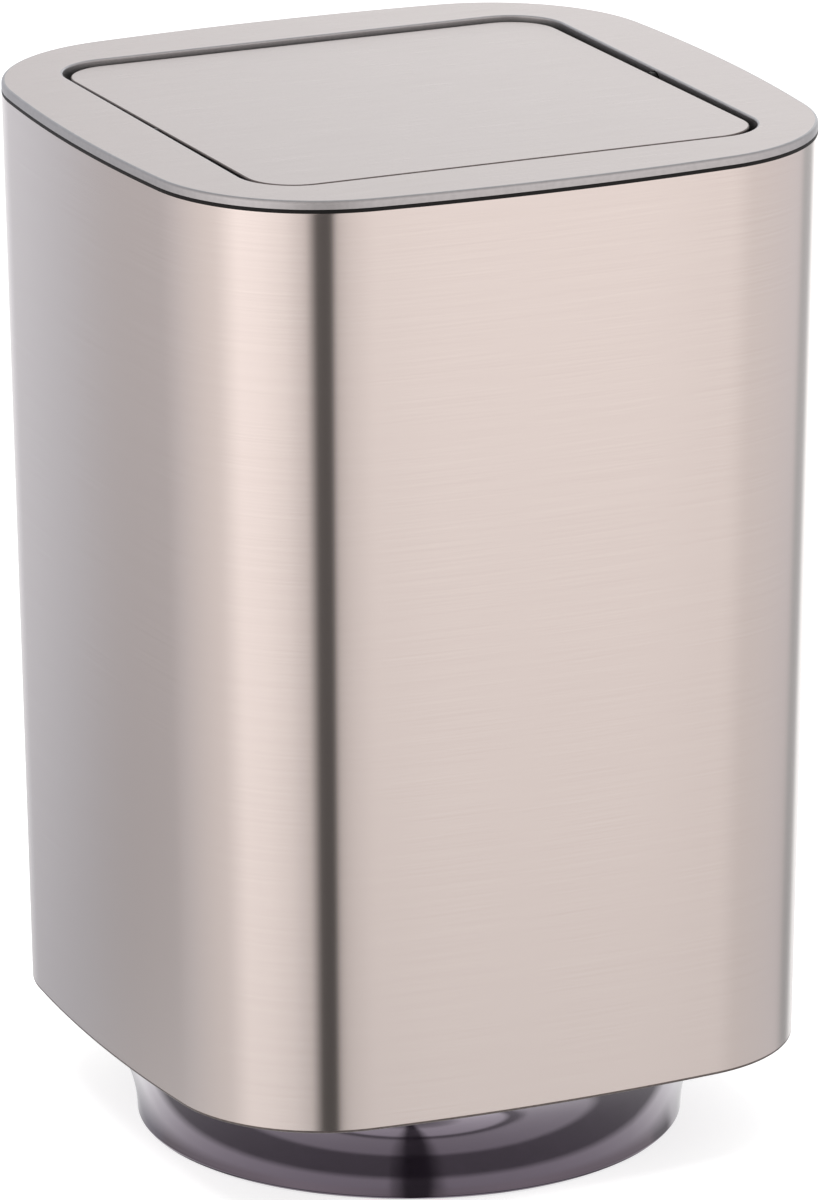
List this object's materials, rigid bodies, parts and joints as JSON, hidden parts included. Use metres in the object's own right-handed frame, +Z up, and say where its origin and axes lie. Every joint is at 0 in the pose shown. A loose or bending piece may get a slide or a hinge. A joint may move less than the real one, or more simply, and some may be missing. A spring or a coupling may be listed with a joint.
{
  "type": "swing lid waste bin",
  "caption": "Square steel waste bin with round corners, a lift-off lid with a weighted swing flap, a lift-out inner bucket and a round flared foot of glossy dark plastic.",
  "frame": {"origin": "on the floor under the middle of the bin", "axes": "+Z up, -Y towards the front, +X to the right seen from the front, along the flap's axis"},
  "size_m": [0.195, 0.195, 0.2905],
  "materials": {
    "brushed_steel": "satin, brushed along the walls",
    "plain_steel": "bright zinc plated",
    "dark_gloss_plastic": "polished, violet black",
    "black_plastic": "fine moulded grain",
    "black_acetal": "smooth moulded",
    "black_rubber": "matt"
  },
  "bodies": {
    "shell": {"outer_sleeve": "brushed_steel", "foot_dish": "dark_gloss_plastic", "anti_slip_ring": "black_rubber", "base_plate": "black_plastic", "foot_screws": "plain_steel"},
    "bucket": {"inner_bucket": "black_plastic"},
    "lid": {"lid_cap": "brushed_steel", "lid_carrier": "black_plastic", "pivot_bush_left": "black_acetal", "pivot_bush_right": "black_acetal", "bearing_cap_left": "black_plastic", "bearing_cap_right": "black_plastic", "bearing_screws": "plain_steel"},
    "flap": {"flap_plate": "brushed_steel", "flap_carrier": "black_plastic", "pivot_pin_left": "plain_steel", "pivot_pin_right": "plain_steel", "counterweight": "plain_steel", "counterweight_screws": "plain_steel"}
  },
  "joints": [
    {"name": "bucket_lift", "type": "slide", "parent": "shell", "child": "bucket", "axis": [0, 0, 1], "range_m": [0, 0.26]},
    {"name": "lid_lift", "type": "slide", "parent": "bucket", "child": "lid", "axis": [0, 0, 1], "range_m": [0, 0.08]},
    {"name": "flap_swing", "type": "hinge", "parent": "lid", "child": "flap", "pos_m": [0, 0, 0.2869], "axis": [1, 0, 0], "range_deg": [-80, 80]}
  ]
}
